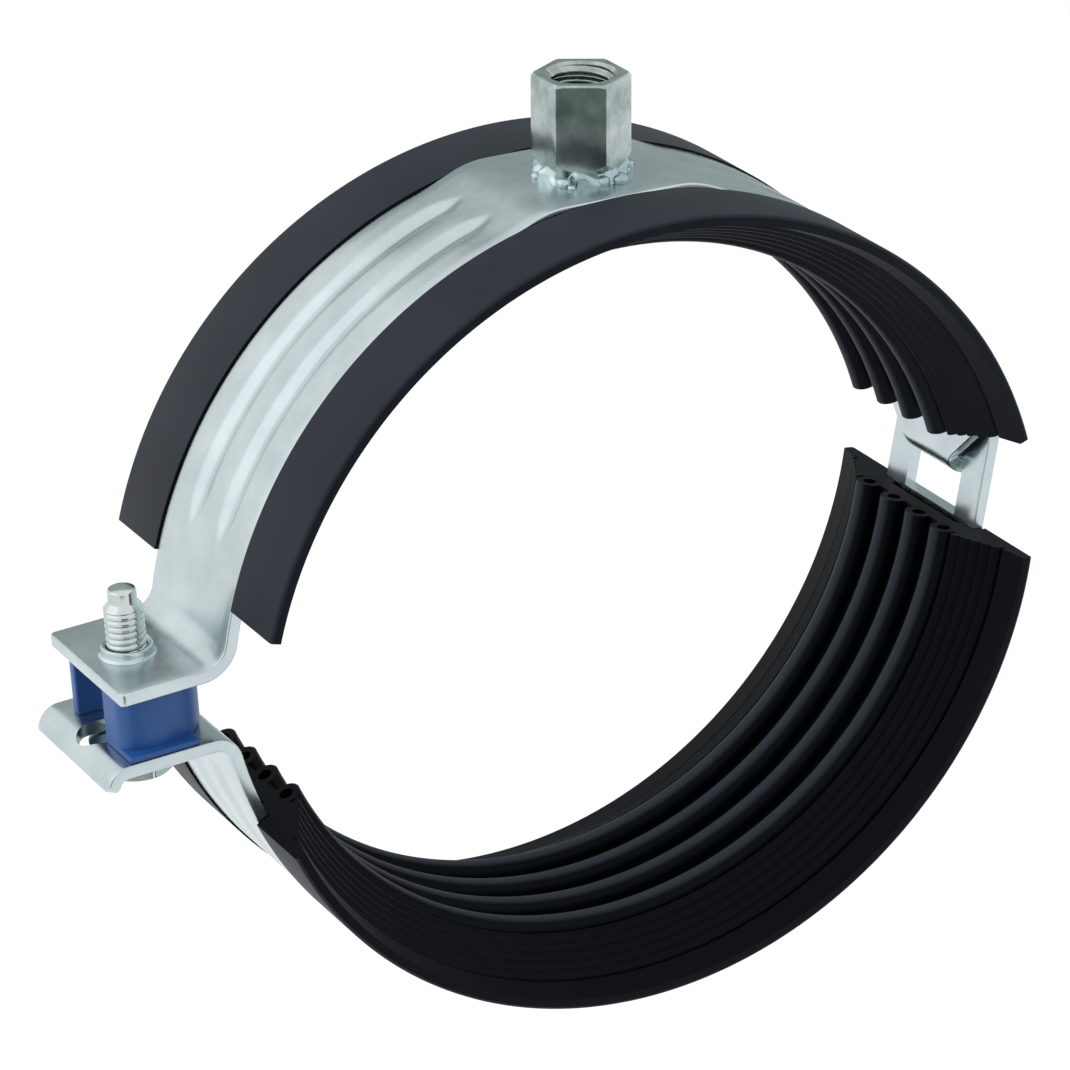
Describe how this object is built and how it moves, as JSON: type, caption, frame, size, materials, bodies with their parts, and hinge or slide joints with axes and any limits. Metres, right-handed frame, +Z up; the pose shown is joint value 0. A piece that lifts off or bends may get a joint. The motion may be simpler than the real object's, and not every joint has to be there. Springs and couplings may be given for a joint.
{
  "type": "rubber lined pipe clamp",
  "caption": "Hinged two-part steel pipe clamp with ribbed rubber liners, one clamping screw and a welded nut for a hanger rod.",
  "frame": {"origin": "centre of the upper half's arc, on the pipe's axis and half way along the clamp", "axes": "+Z up to the hanger nut, +X from the screw to the hinge, +Y along the pipe"},
  "size_m": [0.1577, 0.0514, 0.1424],
  "materials": {
    "zinc_band": "bright zinc plated",
    "zinc_nut": "zinc plated",
    "zinc_screw": "zinc plated",
    "liner_rubber": "matt black",
    "spacer_plastic": "satin blue"
  },
  "bodies": {
    "upper": {"upper_band": "zinc_band", "hanger_nut": "zinc_nut", "upper_liner": "liner_rubber"},
    "lower": {"lower_band": "zinc_band", "lower_liner": "liner_rubber", "spacer": "spacer_plastic"},
    "washer": {"screw_washer": "zinc_screw"},
    "screw": {"clamp_screw": "zinc_screw"}
  },
  "joints": [
    {"name": "ring_hinge", "type": "hinge", "parent": "upper", "child": "lower", "pos_m": [0.0671, 0, 0.011], "axis": [0, -1, 0], "range_deg": [0, 2.62]},
    {"name": "screw_travel", "type": "slide", "parent": "upper", "child": "washer", "axis": [0.0523, 0, -0.9986], "range_m": [0, 0.007]},
    {"name": "screw_turn", "type": "hinge", "parent": "washer", "child": "screw", "pos_m": [-0.07685, 0, 0.0072], "axis": [0.0523, 0, -0.9986], "range_deg": [0, 2520]}
  ],
  "couplings": [
    {"joint": "screw_turn", "follows": "screw_travel", "rad_per_m": 6283.2},
    {"joint": "ring_hinge", "follows": "screw_travel", "rad_per_m": 6.528}
  ]
}
